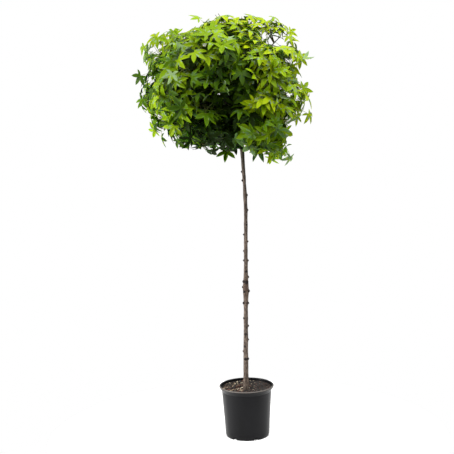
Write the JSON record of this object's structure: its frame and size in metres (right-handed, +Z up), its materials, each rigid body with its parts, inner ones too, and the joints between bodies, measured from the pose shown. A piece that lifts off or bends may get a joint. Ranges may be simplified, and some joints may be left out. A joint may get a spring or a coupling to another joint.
{
  "type": "potted standard sweetgum",
  "caption": "Ball-headed sweetgum on a slim bare stem in a black nursery pot, its crown of star-shaped green leaves on twigs and boughs that leave the graft at the top of the stem.",
  "frame": {"origin": "the middle of the pot's flat underside, on the surface that it stands on", "axes": "+Z is up along the stem, -Y is the side seen in the picture and +X is to that viewer's right"},
  "size_m": [0.8375, 0.7765, 1.9824],
  "materials": {
    "pot_plastic": "satin moulded black plastic",
    "compost": "crumbly bark compost",
    "bark": "thin grey-brown bark with knots",
    "leaves": "soft satin leaf"
  },
  "bodies": {
    "root": {"bough_arching_spray": "bark", "bough_lower_1": "bark", "bough_lower_2": "bark", "bough_lower_3": "bark", "bough_lower_4": "bark", "bough_lower_5": "bark", "bough_middle_1": "bark", "bough_middle_2": "bark", "bough_middle_3": "bark", "bough_middle_4": "bark", "bough_middle_5": "bark", "bough_middle_6": "bark", "bough_top": "bark", "bough_upper_1": "bark", "bough_upper_2": "bark", "bough_upper_3": "bark", "bough_upper_4": "bark", "bough_upper_5": "bark", "compost": "compost", "foliage_arching_spray": "leaves", "foliage_lower_1": "leaves", "foliage_lower_2": "leaves", "foliage_lower_3": "leaves", "foliage_lower_4": "leaves", "foliage_lower_5": "leaves", "foliage_middle_1": "leaves", "foliage_middle_2": "leaves", "foliage_middle_3": "leaves", "foliage_middle_4": "leaves", "foliage_middle_5": "leaves", "foliage_middle_6": "leaves", "foliage_top": "leaves", "foliage_upper_1": "leaves", "foliage_upper_2": "leaves", "foliage_upper_3": "leaves", "foliage_upper_4": "leaves", "foliage_upper_5": "leaves", "pot": "pot_plastic", "trunk": "bark"}
  },
  "joints": []
}
